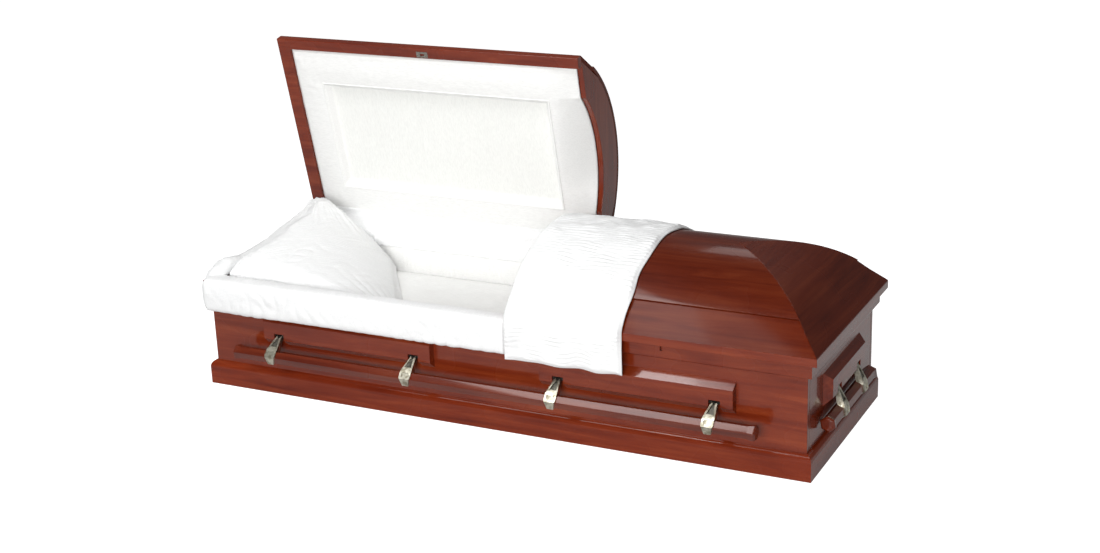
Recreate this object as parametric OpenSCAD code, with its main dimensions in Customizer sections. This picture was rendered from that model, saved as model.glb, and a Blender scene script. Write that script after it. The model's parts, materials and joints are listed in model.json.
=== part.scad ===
// Half-couch wooden funeral casket with swing-bar handles.
// Origin: middle of the underside. +X runs to the foot, -Y is the front, +Z is up.
// The head lid stands open on its hinge, and the foot lid is closed.

/* [Case] */
// Length of the case over its end boards
case_l = 2060; // [1716:1:2472]
// Width of the case over its side boards
case_w = 651; // [542:1:782]
// Height of the case, from the ground to the top of its rim
case_h = 364; // [330:1:436]
// Thickness of the side and end boards
board_t = 19; // [15.5:0.5:23]
// Thickness of the floor board
floor_t = 15; // [12:0.5:20]

/* [Mouldings] */
// How far the base moulding stands out from the case
base_out = 19; // [16:0.5:22]
// Height of the base moulding
base_h = 82; // [70:1:98]
// Height of the rounded part along the top of the base moulding
base_round = 24; // [20:1:28]
// How far the rim moulding stands out from the case
rim_out = 17; // [14:0.5:18]
// Height of the rim moulding
rim_h = 47; // [40:1:54]
// Radius along the lower edge of the rim moulding
rim_round = 6; // [4:0.5:8]

/* [Raised panels] */
// Thickness of the raised panels
panel_t = 25; // [23:0.5:30]
// Height of the raised panels
panel_h = 102; // [96:1:106]
// Height of the panels' lower edge above the ground
panel_z = 172; // [160:1:176]
// Width of the bevel along the panels' top and bottom edges
panel_bevel = 22; // [18:0.5:26]
// Length of each side panel
side_panel_l = 627; // [600:1:680]
// Distance of each side panel's middle from the middle of the case
side_panel_x = 502; // [470:1:520]
// Length of the panel on each end
end_panel_l = 362; // [330:1:400]
// Width of the bevel at the two ends of an end panel
end_panel_bevel = 18; // [8:0.5:24]

/* [Handles] */
// Distance between neighbouring arms along the sides
arm_pitch = 504; // [460:1:512]
// Distance between the two arms of an end handle
end_arm_pitch = 192; // [160:1:230]
// Distance from the pivot to the middle of the bar
arm_l = 74; // [68:0.5:84]
// Width of an arm at its pivot
arm_top_w = 14; // [10:0.5:18]
// Width of an arm where it cups the bar
arm_cup_w = 38; // [32:1:44]
// Thickness of the metal of the cup
cup_t = 4.5; // [3:0.5:6]
// Distance across the flats of the six-sided bars
bar_w = 38; // [32:1:42]
// Length of the long bars
side_bar_l = 1802; // [1700:1:1990]
// Length of the bars on the ends
end_bar_l = 440; // [380:1:520]
// Height of the pivots above the ground
pivot_z = 205; // [203:0.5:207]
// Depth of the pivots behind the face of the panel
pivot_depth = 11; // [9:0.5:12.5]
// Radius of the pivot pins
pin_r = 3; // [2.5:0.25:3.5]
// Radius of the barrel around a pivot pin
barrel_r = 6; // [5:0.25:6.5]
// Width of the slot that an arm swings in
slot_w = 37; // [30:0.5:45]
// Swing of the long bars away from hanging straight down, in degrees
side_swing = 42.5; // [12:0.5:80]
// Swing of the end bars away from hanging straight down, in degrees
end_swing = 10; // [9:0.5:80]

/* [Lid] */
// How far the lid overhangs the case
lid_out = 37; // [30:0.5:45]
// Height of the lip around the lid
lip_h = 26; // [22:1:30]
// Height of the top of the crown above the underside of the lid
crown_h = 218; // [190:1:240]
// Radius of the crown
crown_r = 430; // [430:1:520]
// Distance of the crown's lower edge in from the edge of the lid
nosing_in = 75.5; // [68:0.5:84]
// How far the crown's lower edge stands above the sloping board below it
nosing_h = 8; // [5:0.5:10]
// Thickness of the crown, the sloping boards and the end panel
shell_t = 14; // [11:0.5:17]
// Width of the long rails under the lid
rail_w = 37; // [32:1:44]
// Width of the end rail under the lid
end_rail_w = 46; // [40:1:54]
// Position of the joint between the two lids, toward the foot
seam_x = 81.2; // [0:0.1:160]
// Gap between the two lids
seam_gap = 2.4; // [1.6:0.1:4]
// Thickness of the arched board at each lid's inner end
header_t = 18; // [15:0.5:22]
// Half the width of the arch in that board
arch_half = 212; // [180:1:240]
// Rise of that arch
arch_rise = 62; // [50:1:70]
// Angle that the head lid stands open at, in degrees
head_open = 77; // [0:0.5:77]

/* [Hinges] */
// Distance of the hinge line behind the edge of the lid
hinge_back = 3.5; // [3:0.25:4.5]
// Distance of the hinge line below the underside of the lid
hinge_drop = 16; // [14:0.5:18]
// Radius of the hinge knuckles
knuckle_r = 6; // [5:0.25:6.5]
// Thickness of the hinge leaves
leaf_t = 2.5; // [2:0.25:3]
// Radius of the hinge pins
hinge_pin_r = 2; // [1.5:0.25:2.5]
// Length of one knuckle
knuckle_l = 60; // [50:1:72]

/* [Soft goods] */
// Height of the top of the mattress above the ground
mattress_top = 250; // [230:1:256]
// Thickness of the lining on the inside walls
lining_t = 13; // [10:0.5:16]
// Thickness of the rolled cloth over the rim
roll_t = 15; // [12:0.5:18]
// How far the rolled cloth stands out in front of the rim
roll_out = 27; // [24:0.5:31]
// Height of the lower hem of the rolled cloth above the ground
roll_hem = 266; // [262:1:290]
// Length of the overlay cloth, along the lid
overlay_l = 391; // [340:1:440]
// Thickness of the overlay cloth
overlay_t = 8; // [6:0.5:10]
// Height of the overlay's front hem above the ground
overlay_hem = 258; // [250:1:290]
// Distance of the overlay's back hem behind the ridge
overlay_back = 236; // [200:1:250]
// Depth of the sunk middle of the lid linings
tuft_depth = 24; // [18:1:28]

/* [Hidden] */
$fn = 96;
run_gap = 0.05;      // radial clearance of a pin in its bore
side_gap = 0.5;      // clearance at the end of a barrel or knuckle
cloth_gap = 0.6;     // clearance between cloth and what it lies against
eps = 0.01;

half_l = case_l/2;
half_w = case_w/2;
in_l = half_l - board_t;
in_w = half_w - board_t;

lid_z = case_h;
lip_z = lid_z + lip_h;
lid_hl = half_l + lid_out;
lid_hw = half_w + lid_out;
apex_z = lid_z + crown_h;
crown_cz = apex_z - crown_r;
nosing_y = lid_hw - nosing_in;
nosing_z = crown_cz + sqrt(pow(crown_r, 2) - pow(nosing_y, 2)) - nosing_h;
band_slope = (nosing_z - lip_z)/nosing_in;
band_drop = shell_t*sqrt(1 + pow(band_slope, 2));
head_x = seam_x - seam_gap/2;
foot_x = seam_x + seam_gap/2;

hinge_y = lid_hw + hinge_back;
hinge_z = lid_z - hinge_drop;

pivot_d = panel_t - pivot_depth;
slot_top = pivot_z + 9;
arch_r = (pow(arch_half, 2) + pow(arch_rise, 2))/(2*arch_rise);

SIDES = ["front", "back", "head", "foot"];
SIDE_ARMS = [for (i = [0:3]) (i - 1.5)*arm_pitch];
END_ARMS = [-end_arm_pitch/2, end_arm_pitch/2];

WOOD = "#7a2c18";
DARK_WOOD = "#5f2114";
METAL = "#b9b49c";
STEEL = "#4a4642";
CLOTH = "#f4f2ee";
CREAM = "#efeee0";

// ---------------------------------------------------------------- helpers

// Turns a piece that is drawn for the front, with x along the side, d outward as -Y,
// so that it stands on another side of the case.
module on_side(side) {
    if (side == "front") translate([0, -half_w, 0]) children();
    if (side == "back") translate([0, half_w, 0]) rotate([0, 0, 180]) children();
    if (side == "head") translate([-half_l, 0, 0]) rotate([0, 0, -90]) children();
    if (side == "foot") translate([half_l, 0, 0]) rotate([0, 0, 90]) children();
}

function side_len(side) = (side == "front" || side == "back") ? case_l : case_w;

// Extrudes a profile drawn as (outward, height) along a side of the case, over half length h.
module along_side(h) {
    rotate([90, 0, -90]) linear_extrude(2*h, center = true) children();
}

// A moulding around the case, cut at 45 degrees at both corners.
module mitred_moulding(side, out, top) {
    h = side_len(side)/2;
    on_side(side) intersection() {
        along_side(h + out) children();
        linear_extrude(top) polygon([[-h, 0], [h, 0], [h + out, -out], [-h - out, -out]]);
    }
}

// Stands the pieces of the head lid open about the hinge line.
module opened() {
    translate([0, hinge_y, hinge_z]) rotate([-head_open, 0, 0])
        translate([0, -hinge_y, -hinge_z]) children();
}

// ------------------------------------------------------------------- case

module floor_board() {
    color(DARK_WOOD) translate([-in_l, -in_w, 0]) cube([2*in_l, 2*in_w, floor_t]);
}

module side_board(side) {
    color(WOOD) on_side(side) translate([-half_l, 0, 0]) cube([case_l, board_t, case_h]);
}

module end_board(side) {
    color(WOOD) on_side(side) translate([-in_w, 0, 0]) cube([2*in_w, board_t, case_h]);
}

module base_profile() {
    square([base_out, base_h - base_round]);
    intersection() {
        translate([base_out - base_round, base_h - base_round]) circle(base_round);
        translate([0, base_h - base_round - eps]) square([base_out, base_round + eps]);
    }
}

module base_moulding(side) {
    color(WOOD) mitred_moulding(side, base_out, base_h) base_profile();
}

module rim_profile() {
    translate([0, case_h - rim_h]) {
        translate([0, rim_round]) square([rim_out, rim_h - rim_round]);
        square([rim_out - rim_round, rim_round + eps]);
        translate([rim_out - rim_round, rim_round]) circle(rim_round);
    }
}

// The front rim has the T-shaped slot of the lid lock.
module lock_slot() {
    slot_x = (foot_x + lid_hl)/2 + 14;
    translate([slot_x - 12, -rim_out - 1, case_h - 6]) cube([24, 11, 7]);
    translate([slot_x - 4, -rim_out - 1, case_h - 22]) cube([8, 11, 17]);
}

module rim_moulding(side) {
    color(WOOD) difference() {
        mitred_moulding(side, rim_out, case_h) rim_profile();
        if (side == "front") on_side(side) lock_slot();
    }
}

// A raised panel with bevelled edges, and a slot with pin holes for each arm.
module raised_panel(side, x, length, end_bevel, arms) {
    color(WOOD) on_side(side) difference() {
        intersection() {
            translate([x, 0, 0]) along_side(length/2) polygon([
                [0, panel_z], [panel_t, panel_z + panel_bevel],
                [panel_t, panel_z + panel_h - panel_bevel], [0, panel_z + panel_h]
            ]);
            translate([x, 0, panel_z]) linear_extrude(panel_h) polygon([
                [-length/2, 0], [length/2, 0],
                [length/2 - end_bevel, -panel_t], [-length/2 + end_bevel, -panel_t]
            ]);
        }
        for (arm_x = arms) translate([arm_x, 0, 0]) {
            translate([-slot_w/2, -panel_t - 1, panel_z - 1])
                cube([slot_w, panel_t + 2, slot_top - panel_z + 1]);
            translate([0, -pivot_d, pivot_z]) rotate([0, 90, 0])
                cylinder(r = pin_r + run_gap, h = slot_w + 22, center = true);
        }
    }
}

// ---------------------------------------------------------------- handles

// A hexagon that is w across its flats, with a flat side to the front and a point at the top.
function hexagon(w) = [for (i = [0:5]) w/sqrt(3)*[sin(60*i), cos(60*i)]];

// Swings a piece that hangs straight down from the pivots of a side.
module swung(side, angle) {
    on_side(side) translate([0, -pivot_d, pivot_z]) rotate([-angle, 0, 0]) children();
}

// The side view of an arm, as (outward, height) from its pivot.
module arm_profile() {
    inner = hexagon(bar_w);
    outer = hexagon(bar_w + 2*cup_t);
    bar_z = [0, -arm_l];
    polygon([
        [-barrel_r + 1, 0], inner[0] + bar_z, inner[1] + bar_z, inner[2] + bar_z,
        inner[3] + bar_z, outer[3] + bar_z, outer[2] + bar_z, outer[1] + bar_z,
        [barrel_r - 0.5, 2]
    ]);
}

// The front view of an arm, narrow at the pivot and wide over the bar.
module arm_outline() {
    top = arm_top_w/2;
    cup = arm_cup_w/2;
    polygon([
        [-top, 6], [top, 6], [cup, -arm_l + 16], [cup, -arm_l - 8],
        [cup*0.5, -arm_l - 30], [-cup*0.5, -arm_l - 30], [-cup, -arm_l - 8],
        [-cup, -arm_l + 16]
    ]);
}

module arm(side, x, angle) {
    cup = bar_w/2 + cup_t;
    face_tilt = atan2(cup - barrel_r + 0.5, arm_l + 2 - cup*tan(30));
    color(METAL) swung(side, angle) translate([x, 0, 0]) {
        difference() {
            intersection() {
                along_side(arm_cup_w/2) arm_profile();
                rotate([90, 0, 0]) linear_extrude(120, center = true) arm_outline();
            }
            translate([0, -barrel_r + 0.5, 2]) rotate([-face_tilt, 0, 0])
                translate([0, 0, -14]) rotate([90, 0, 0]) linear_extrude(5, center = true)
                    polygon([
                        [-arm_top_w/2 + 3.4, 0], [arm_top_w/2 - 3.4, 0],
                        [arm_cup_w/2 - 7, -arm_l + 38], [-arm_cup_w/2 + 7, -arm_l + 38]
                    ]);
            translate([0, -cup, -arm_l]) cube([arm_cup_w - 16, 3, bar_w*0.42], center = true);
        }
        rotate([0, 90, 0]) cylinder(r = barrel_r, h = slot_w - 2*side_gap, center = true);
        rotate([0, 90, 0]) cylinder(r = pin_r, h = slot_w + 20, center = true);
    }
}

// A six-sided bar with a flared tip at each end.
module bar(side, length, angle) {
    tip_l = 26;
    flare = 3;
    color(DARK_WOOD) swung(side, angle) translate([0, 0, -arm_l]) {
        along_side(length/2 - tip_l) polygon(hexagon(bar_w));
        for (end = [-1, 1]) translate([end*(length/2 - tip_l), 0, 0]) rotate([90, 0, 90*end])
            hull() {
                linear_extrude(0.5) polygon(hexagon(bar_w));
                translate([0, 0, tip_l - 8]) linear_extrude(4) polygon(hexagon(bar_w + 2*flare));
                translate([0, 0, tip_l - 0.5]) linear_extrude(0.5) polygon(hexagon(bar_w - 4));
            }
    }
}

// ----------------------------------------------------------------- hinges

HINGE_KNUCKLES = [6, 5];                       // pairs of knuckles under the head and foot lid
HINGE_MIDDLES = [(head_x - lid_hl)/2, (foot_x + lid_hl)/2];

function knuckle_x(lid, k) =
    HINGE_MIDDLES[lid] + (k - HINGE_KNUCKLES[lid] + 0.5)*knuckle_l;

// Every second knuckle from the first, with its share of the leaf added by children.
module knuckles(lid, first, bore) {
    for (k = [first:2:2*HINGE_KNUCKLES[lid] - 1])
        translate([knuckle_x(lid, k), hinge_y, hinge_z]) rotate([0, 90, 0]) difference() {
            cylinder(r = knuckle_r, h = knuckle_l - 2*side_gap, center = true);
            if (bore) cylinder(r = hinge_pin_r + run_gap, h = knuckle_l, center = true);
        }
}

// The fixed leaves, with the pins in their knuckles.
module body_hinge_leaves() {
    rim_y = half_w + rim_out;
    color(STEEL) for (lid = [0, 1]) {
        n = HINGE_KNUCKLES[lid];
        x0 = knuckle_x(lid, 0) - knuckle_l/2;
        knuckles(lid, 0, false);
        translate([x0 + side_gap, hinge_y, hinge_z]) rotate([0, 90, 0])
            cylinder(r = hinge_pin_r, h = 2*n*knuckle_l - 2*side_gap);
        translate([x0, rim_y, hinge_z - 28]) cube([2*n*knuckle_l, leaf_t, 30]);
        for (k = [0:2:2*n - 1]) translate([
            knuckle_x(lid, k) - knuckle_l/2 + side_gap, rim_y, hinge_z - leaf_t/2
        ]) cube([knuckle_l - 2*side_gap, hinge_y - rim_y - hinge_pin_r, leaf_t]);
    }
}

// The leaf of a lid, screwed to the back of its lip.
module lid_hinge_leaf(lid) {
    n = HINGE_KNUCKLES[lid];
    x0 = knuckle_x(lid, 0) - knuckle_l/2;
    color(STEEL) {
        knuckles(lid, 1, true);
        translate([x0, lid_hw, lid_z + 1]) cube([2*n*knuckle_l, leaf_t, lip_h - 4]);
        difference() {
            for (k = [1:2:2*n - 1]) translate([
                knuckle_x(lid, k) - knuckle_l/2 + side_gap, lid_hw, hinge_z
            ]) cube([knuckle_l - 2*side_gap, leaf_t, hinge_drop + 2]);
            translate([x0, hinge_y, hinge_z]) rotate([0, 90, 0])
                cylinder(r = hinge_pin_r + run_gap, h = 2*n*knuckle_l);
        }
    }
}

// -------------------------------------------------------------------- lid

// Keeps the part of a lid piece that lies on one side of the 45 degree corner joints at
// the end of the lid: the long pieces with part = "long", and the end piece with "end".
module lid_corner_cut(part, end) {
    top = apex_z + 10;
    scale([end, 1, 1]) translate([0, 0, lid_z]) linear_extrude(top - lid_z)
        if (part == "end") polygon([
            [lid_hl, -lid_hw], [lid_hl, lid_hw], [lid_hl - lid_hw, 0]
        ]);
        else polygon([
            [-lid_hl, -lid_hw], [lid_hl, -lid_hw], [lid_hl - lid_hw, 0], [lid_hl, lid_hw],
            [-lid_hl, lid_hw]
        ]);
}

// Extrudes a profile drawn as (y, z) from one x to another.
module along_lid(x0, x1) {
    translate([x0, 0, 0]) rotate([90, 0, 90]) linear_extrude(x1 - x0) children();
}

// The ends of each lid: its inner, cut end first, then its outer end.
LID_X = [[head_x, -lid_hl], [foot_x, lid_hl]];
LID_END = [-1, 1];

module long_piece(lid) {
    x0 = min(LID_X[lid]);
    x1 = max(LID_X[lid]);
    intersection() {
        along_lid(x0, x1) children();
        lid_corner_cut("long", LID_END[lid]);
    }
}

function radial(r, a) = [r*sin(a), crown_cz + r*cos(a)];

module crown(lid) {
    edge = asin(nosing_y/crown_r);
    reach = crown_r/cos(edge);
    color(WOOD) long_piece(lid) intersection() {
        translate([0, crown_cz]) difference() {
            circle(crown_r, $fn = 180);
            circle(crown_r - shell_t, $fn = 180);
        }
        polygon([[0, crown_cz], radial(reach, edge), [0, apex_z + 20], radial(reach, -edge)]);
    }
}

// The sloping board between the lip and the crown, on the side y = -1 or 1.
module band(lid, y) {
    edge = asin(nosing_y/crown_r);
    // distance from the crown's centre to where the crown's end face meets the slope
    run = (lip_z + band_slope*lid_hw - crown_cz)/(cos(edge) + band_slope*sin(edge));
    in_run = run - band_drop/(cos(edge) + band_slope*sin(edge));
    outer = radial(run, edge);
    inner = radial(in_run, edge);
    color(WOOD) long_piece(lid) scale([y, 1]) polygon([
        [lid_hw, lip_z], [outer[0], outer[1]], [inner[0], inner[1]],
        [lid_hw - band_drop/band_slope, lip_z]
    ]);
}

// Height of the end cove at a distance a in from the end: the slope of the sloping
// boards below, eased into the curve of the crown above.
function ease(t) = let (u = max(0, min(1, t))) u*u*(3 - 2*u);
function cove_line(a) = lip_z + band_slope*a;
function cove_arc(a) = crown_cz + sqrt(pow(crown_r, 2) - pow(lid_hw - a, 2));
function cove(a) = let (w = ease((a - 35)/90)) (1 - w)*cove_line(a) + w*cove_arc(a);

module end_cove(lid) {
    steps = 36;
    end = LID_END[lid];
    top_a = lid_hw;
    outer = [for (i = [0:steps]) let (a = top_a*i/steps) [end*(lid_hl - a), cove(a)]];
    inner_drop = shell_t*1.35;
    foot_in = inner_drop/band_slope;
    inner = [for (i = [0:steps]) let (a = top_a - (top_a - foot_in)*i/steps)
        [end*(lid_hl - a), max(lip_z, cove(a) - inner_drop)]];
    color(WOOD) intersection() {
        rotate([90, 0, 0]) linear_extrude(2*lid_hw, center = true)
            polygon(concat(outer, inner));
        lid_corner_cut("end", end);
    }
}

// The flat frame under a lid: two long rails and an end rail.
module rails(lid) {
    x_in = LID_X[lid][0];
    x_out = LID_X[lid][1];
    end = LID_END[lid];
    color(WOOD) difference() {
        translate([0, 0, lid_z]) linear_extrude(lip_h) difference() {
            polygon([[x_in, -lid_hw], [x_out, -lid_hw], [x_out, lid_hw], [x_in, lid_hw]]);
            polygon([
                [x_in - end, -lid_hw + rail_w], [x_out - end*end_rail_w, -lid_hw + rail_w],
                [x_out - end*end_rail_w, lid_hw - rail_w], [x_in - end, lid_hw - rail_w]
            ]);
        }
        if (lid == 0) strike_block(eps);
    }
}

// The catch plate of the lock, let into the head lid's front rail.
module strike_block(below) {
    translate([(head_x - lid_hl)/2 - 21.5, -lid_hw + 14, lid_z - below])
        cube([43, 20, 3 + below]);
}

module strike() {
    color(STEEL) difference() {
        strike_block(0);
        translate([(head_x - lid_hl)/2 - 8, -lid_hw + 20, lid_z - 1]) cube([16, 8, 5]);
    }
}

// The arched board that closes the cut end of a lid.
module header(lid) {
    x_in = LID_X[lid][0];
    slope_in = lid_hw - band_drop/band_slope;
    top = apex_z + 20;
    color(WOOD) along_lid(min(x_in, x_in + LID_END[lid]*header_t),
                          max(x_in, x_in + LID_END[lid]*header_t))
        difference() {
            intersection() {
                translate([0, crown_cz]) circle(crown_r - shell_t, $fn = 180);
                polygon([
                    [-slope_in, lip_z], [slope_in, lip_z],
                    [slope_in - (top - lip_z)/band_slope, top],
                    [-slope_in + (top - lip_z)/band_slope, top]
                ]);
            }
            translate([0, lip_z + arch_rise - arch_r]) circle(arch_r, $fn = 180);
        }
}

// ------------------------------------------------------------- soft goods

// The padded lining inside a lid, with a sunk middle, scooped up to the arch of the header.
module lid_lining(lid) {
    end = LID_END[lid];
    x_head = LID_X[lid][0] + end*(header_t + cloth_gap);
    x_end = LID_X[lid][1] - end*(end_rail_w + cloth_gap);
    y = lid_hw - rail_w - cloth_gap;
    face_z = lid_z + 4;
    back_z = face_z + tuft_depth + 12;
    scoop_l = 100;
    color(CREAM) difference() {
        union() {
            translate([min(x_head, x_end), -y, face_z])
                cube([abs(x_end - x_head), 2*y, back_z - face_z]);
            translate([min(x_head, x_head + end*scoop_l), -arch_half - 20, face_z])
                cube([scoop_l, 2*arch_half + 40, lip_z + arch_rise + 10 - face_z]);
        }
        // the sunk middle
        translate([min(x_head + end*scoop_l, x_end - end*100), -y + 122, face_z - 1])
            cube([abs(x_end - x_head) - scoop_l - 100, 2*y - 244, tuft_depth + 1]);
        // the scoop up to the arch
        hull() {
            along_lid(x_head - 1, x_head + 1) intersection() {
                translate([0, lip_z + arch_rise - arch_r - 4]) circle(arch_r, $fn = 64);
                translate([-arch_half, face_z - 1]) square([2*arch_half, 200]);
            }
            along_lid(x_head + end*(scoop_l - 12) - 1, x_head + end*(scoop_l - 12))
                translate([-arch_half, face_z - 1]) square([2*arch_half, 1.5]);
        }
        // room for the lip of the header and rails beside the scoop
        for (side = [-1, 1]) translate([
            min(x_head, x_head + end*scoop_l) - 1,
            side > 0 ? arch_half + 20 : -arch_half - 20 - 200, back_z
        ]) cube([scoop_l + 2, 200, 200]);
    }
}

module mattress() {
    inset = lining_t + 2*cloth_gap;
    color(CREAM) translate([-in_l + inset, -in_w + inset, floor_t])
        cube([2*(in_l - inset), 2*(in_w - inset), mattress_top - floor_t]);
}

module side_lining() {
    top = case_h - 26;
    outer = [2*(in_l - cloth_gap), 2*(in_w - cloth_gap)];
    inner = outer - [2*lining_t, 2*lining_t];
    color(CLOTH) translate([0, 0, floor_t]) linear_extrude(top - floor_t) difference() {
        square(outer, center = true);
        square(inner, center = true);
    }
}

// Cloth rolled over the rim, as (outward from the case face, height).
module roll_profile(out) {
    inside = -board_t - lining_t - 2;
    polygon([
        [rim_out + cloth_gap, roll_hem], [rim_out + out - 4, roll_hem],
        [rim_out + out, roll_hem + 14], [rim_out + out, case_h - 6],
        [rim_out + out - 9, case_h + roll_t - 3], [rim_out + out - 20, case_h + roll_t],
        [inside + 10, case_h + roll_t - 2], [inside, case_h + 4],
        [inside, case_h + cloth_gap], [rim_out + cloth_gap, case_h + cloth_gap]
    ]);
}

module front_roll() {
    x1 = head_x - cloth_gap;
    x0 = -half_l - rim_out + 1;
    color(CLOTH) translate([0, -half_w, 0]) translate([x0, 0, 0]) rotate([90, 0, 90])
        linear_extrude(x1 - x0) scale([-1, 1]) roll_profile(roll_out);
}

module head_roll() {
    out = 9;
    y1 = half_w + rim_out - 2;
    y0 = -half_w + board_t + lining_t + 2 + cloth_gap;
    inside = -board_t - lining_t - 2;
    color(CLOTH) translate([-half_l, 0, 0]) rotate([0, 0, -90]) translate([-y1, 0, 0])
        rotate([90, 0, 90]) linear_extrude(y1 - y0) scale([-1, 1]) polygon([
            [rim_out + cloth_gap, roll_hem + 14], [rim_out + out, roll_hem + 14],
            [rim_out + out, case_h], [rim_out + out - 12, case_h + roll_t + 17],
            [0, case_h + roll_t + 26], [inside + 4, case_h + roll_t + 20],
            [inside, case_h + cloth_gap], [rim_out + cloth_gap, case_h + cloth_gap]
        ]);
}

// The pillow: a plump wedge that climbs to the back corner at the head, and leans on the wall.
module pillow() {
    x0 = -in_l + lining_t + 6;
    y = in_w - lining_t - 10;
    z0 = mattress_top + cloth_gap;
    // across (0 front, 1 back), reach toward the foot, height at the head
    STATIONS = [[0, 700, 140], [0.28, 590, 176], [0.5, 505, 202], [0.75, 405, 224], [1, 310, 256]];
    color(CLOTH) hull() for (s = STATIONS) translate([x0, y*(2*s[0] - 1), z0]) {
        cylinder(r = 0.5, h = s[2] - 20, $fn = 8);
        translate([20, 0, 0]) cylinder(r = 0.5, h = s[2], $fn = 8);
        translate([s[1]*0.45, 0, 0]) cylinder(r = 0.5, h = s[2]*0.76, $fn = 8);
        translate([s[1]*0.8, 0, 0]) cylinder(r = 0.5, h = s[2]*0.36, $fn = 8);
        translate([s[1], 0, 0]) cylinder(r = 0.5, h = 4, $fn = 8);
    }
}

// The overlay: quilted cloth laid over the foot lid, hanging down in front.
module overlay_path(grow) {
    edge = asin(nosing_y/crown_r);
    r = crown_r + grow;
    n = 14;
    back = asin(overlay_back/r);
    face = concat(
        [[-lid_hw - grow, overlay_hem], [-lid_hw - grow, lip_z + 2 + grow*0.3]],
        [for (i = [0:n]) let (a = -edge + (back + edge)*i/n) radial(r, a)]
    );
    polygon(concat(face, [[overlay_back, lid_z], [-lid_hw + 30, lid_z],
                                [-lid_hw + 30, overlay_hem]]));
}

module overlay() {
    x0 = foot_x + 1.4;
    color(CLOTH) along_lid(x0, x0 + overlay_l) difference() {
        overlay_path(1 + overlay_t);
        union() {
            overlay_path(1);
            translate([-lid_hw - 1, 0]) square([lid_hw, overlay_hem + eps]);
        }
    }
}

// ------------------------------------------------------------------ pieces

floor_board();
side_board("front");  // front_side_board
side_board("back");  // back_side_board
end_board("head");  // head_end_board
end_board("foot");  // foot_end_board
for (side = SIDES) {
    base_moulding(side);
    rim_moulding(side);
}

// The side panels and the arms that each one carries.
for (side = ["front", "back"]) {
    turn = side == "front" ? 1 : -1;
    for (end = ["head", "foot"]) {
        dir = turn*(end == "head" ? -1 : 1);
        raised_panel(side, dir*side_panel_x, side_panel_l, 2,
                         [dir*arm_pitch/2, dir*arm_pitch*1.5]);
    }
    for (i = [0:3]) arm(side, turn*SIDE_ARMS[i], side_swing);
    bar(side, side_bar_l, side_swing);
}
for (side = ["head", "foot"]) {
    raised_panel(side, 0, end_panel_l, end_panel_bevel, END_ARMS);
    for (i = [0:1]) arm(side, END_ARMS[i], end_swing);
    bar(side, end_bar_l, end_swing);
}

body_hinge_leaves();
opened() lid_hinge_leaf(0);  // head_lid_hinge_leaf
lid_hinge_leaf(1);  // foot_lid_hinge_leaf

mattress();
side_lining();
front_roll();
head_roll();
pillow();

opened() crown(0);  // head_lid_crown
opened() band(0, -1);  // head_lid_front_band
opened() band(0, 1);  // head_lid_back_band
opened() end_cove(0);  // head_lid_end_cove
opened() rails(0);  // head_lid_rails
opened() header(0);  // head_lid_header
opened() lid_lining(0);  // head_lid_lining
opened() strike();  // head_lid_strike
crown(1);  // foot_lid_crown
band(1, -1);  // foot_lid_front_band
band(1, 1);  // foot_lid_back_band
end_cove(1);  // foot_lid_end_cove
rails(1);  // foot_lid_rails
header(1);  // foot_lid_header
lid_lining(1);  // foot_lid_lining
overlay();
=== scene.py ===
# %% [markdown]
# # A half-couch wooden casket
# The joinery, the handles and the hinges arrive as a finished frame, in metres. This file
# gives them their finish, and sews the soft parts: the pillow, the rolls over the rim, the
# lid linings, the mattress, and the quilted overlay on the closed lid.

# %% Load the frame
import json
import math

import bmesh
import bpy
import numpy as np
from mathutils import Matrix, Vector


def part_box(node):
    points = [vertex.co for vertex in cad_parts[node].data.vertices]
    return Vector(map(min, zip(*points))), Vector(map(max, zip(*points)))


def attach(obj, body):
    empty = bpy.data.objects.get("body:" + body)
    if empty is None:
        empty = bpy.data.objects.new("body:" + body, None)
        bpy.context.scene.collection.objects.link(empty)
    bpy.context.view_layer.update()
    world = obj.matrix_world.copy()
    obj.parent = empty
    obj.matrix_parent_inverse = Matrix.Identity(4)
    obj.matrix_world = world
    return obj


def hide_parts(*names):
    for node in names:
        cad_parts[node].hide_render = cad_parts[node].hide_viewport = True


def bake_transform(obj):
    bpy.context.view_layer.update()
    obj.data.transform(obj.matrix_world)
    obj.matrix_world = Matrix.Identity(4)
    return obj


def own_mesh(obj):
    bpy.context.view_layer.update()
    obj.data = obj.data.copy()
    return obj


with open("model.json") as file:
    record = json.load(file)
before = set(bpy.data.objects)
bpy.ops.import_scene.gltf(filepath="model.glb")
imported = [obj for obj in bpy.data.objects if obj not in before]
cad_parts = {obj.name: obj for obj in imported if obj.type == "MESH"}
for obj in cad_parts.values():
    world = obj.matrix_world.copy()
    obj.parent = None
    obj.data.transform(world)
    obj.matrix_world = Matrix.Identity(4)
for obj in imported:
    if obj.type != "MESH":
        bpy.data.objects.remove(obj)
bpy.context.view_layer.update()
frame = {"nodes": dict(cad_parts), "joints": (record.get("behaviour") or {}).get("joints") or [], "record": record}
print(len(frame["nodes"]), "pieces of joinery and metal")

# %% [markdown]
# The soft parts take their places from the woodwork. These few values are read from the
# boxes of the boards and lids, so a longer or wider casket moves every seam with it.

# %% Places taken from the frame
CASE_LO, CASE_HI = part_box("front_side_board")
FLOOR_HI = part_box("floor_board")[1]
RIM_LO, RIM_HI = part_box("front_rim_moulding")
LID_LO, LID_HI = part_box("foot_lid_rails")
CROWN_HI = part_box("foot_lid_crown")[1]
HEADER_LO, HEADER_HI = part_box("foot_lid_header")
MATTRESS_LO, MATTRESS_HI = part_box("mattress")
HINGE = next(j for j in frame["joints"] if j["name"] == "head_lid_hinge")
PIVOT = np.array(HINGE["pos_m"])
OPEN_ANGLE = math.radians(max(HINGE["range_deg"]))

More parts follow.
